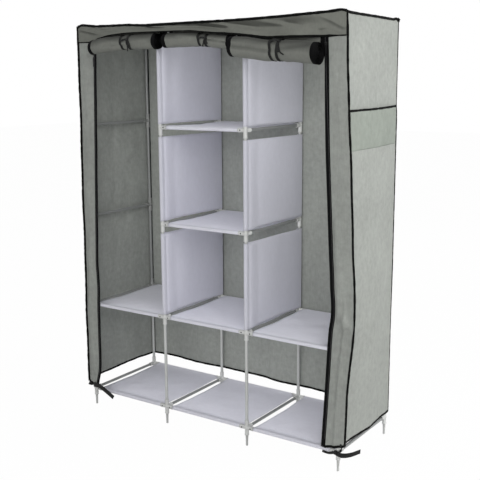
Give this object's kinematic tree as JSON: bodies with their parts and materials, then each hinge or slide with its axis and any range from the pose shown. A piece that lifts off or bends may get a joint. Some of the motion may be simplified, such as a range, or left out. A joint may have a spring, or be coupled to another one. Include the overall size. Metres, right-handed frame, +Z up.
{
  "type": "portable fabric wardrobe",
  "caption": "Free-standing cloth wardrobe on a push-fit tube frame, with shelves, hanging space, rolled-up zipped doors and a side pocket.",
  "frame": {"origin": "on the floor under the middle of the whole wardrobe's box", "axes": "+X to the wardrobe's right as seen from the front, -Y out of its open front, +Z up"},
  "size_m": [1.382, 0.5422, 1.744],
  "materials": {
    "painted_tube": "light grey paint, satin, on thin steel tube; the connectors are white plastic",
    "white_cloth": "off-white nonwoven cloth, matt",
    "cover_cloth": "grey nonwoven cloth, matt",
    "pocket_cloth": "grey nonwoven cloth, matt",
    "black_ribbon": "black woven ribbon, matt",
    "zip_metal": "black enamel, satin"
  },
  "bodies": {
    "wardrobe": {"side_frame_left": "painted_tube", "side_frame_middle_left": "painted_tube", "side_frame_middle_right": "painted_tube", "side_frame_right": "painted_tube", "front_tube_left_1": "painted_tube", "back_tube_left_1": "painted_tube", "front_tube_left_2": "painted_tube", "back_tube_left_2": "painted_tube", "front_tube_left_5": "painted_tube", "back_tube_left_5": "painted_tube", "front_tube_centre_1": "painted_tube", "back_tube_centre_1": "painted_tube", "front_tube_centre_2": "painted_tube", "back_tube_centre_2": "painted_tube", "front_tube_centre_3": "painted_tube", "back_tube_centre_3": "painted_tube", "front_tube_centre_4": "painted_tube", "back_tube_centre_4": "painted_tube", "front_tube_centre_5": "painted_tube", "back_tube_centre_5": "painted_tube", "front_tube_right_1": "painted_tube", "back_tube_right_1": "painted_tube", "front_tube_right_2": "painted_tube", "back_tube_right_2": "painted_tube", "front_tube_right_5": "painted_tube", "back_tube_right_5": "painted_tube", "hanging_rail_left": "painted_tube", "hanging_rail_right": "painted_tube", "shelf_left_1": "white_cloth", "shelf_left_2": "white_cloth", "shelf_centre_1": "white_cloth", "shelf_centre_2": "white_cloth", "shelf_right_1": "white_cloth", "shelf_right_2": "white_cloth", "shelf_centre_3": "white_cloth", "shelf_centre_4": "white_cloth", "divider_left_1": "white_cloth", "divider_left_2": "white_cloth", "divider_left_3": "white_cloth", "divider_right_1": "white_cloth", "divider_right_2": "white_cloth", "divider_right_3": "white_cloth", "cover_strip_left": "cover_cloth", "cover_strip_right": "cover_cloth", "cover_side_left": "cover_cloth", "cover_side_right": "cover_cloth", "cover_back": "cover_cloth", "cover_valance": "cover_cloth", "cover_roof": "cover_cloth", "door_roll_left": "cover_cloth", "door_roll_centre": "cover_cloth", "door_roll_right": "cover_cloth", "side_pocket": "pocket_cloth", "door_tie_left": "black_ribbon", "door_tie_centre": "black_ribbon", "door_tie_right": "black_ribbon"},
    "left_slider": {"zip_slider_left": "zip_metal"},
    "left_tab": {"pull_tab_left": "zip_metal"},
    "right_slider": {"zip_slider_right": "zip_metal"},
    "right_tab": {"pull_tab_right": "zip_metal"}
  },
  "joints": [
    {"name": "left_zip_slide", "type": "slide", "parent": "wardrobe", "child": "left_slider", "axis": [-0.0345, 0, -0.9994], "range_m": [0, 1.49]},
    {"name": "left_tab_swing", "type": "hinge", "parent": "left_slider", "child": "left_tab", "pos_m": [-0.58374, -0.18675, 1.60607], "axis": [-0.9994, 0, 0.0345], "range_deg": [0, 150]},
    {"name": "right_zip_slide", "type": "slide", "parent": "wardrobe", "child": "right_slider", "axis": [0.0513, 0, -0.9987], "range_m": [0, 0.8]},
    {"name": "right_tab_swing", "type": "hinge", "parent": "right_slider", "child": "right_tab", "pos_m": [0.56123, -0.18675, 1.6401], "axis": [-0.9987, 0, -0.0513], "range_deg": [0, 150]}
  ]
}
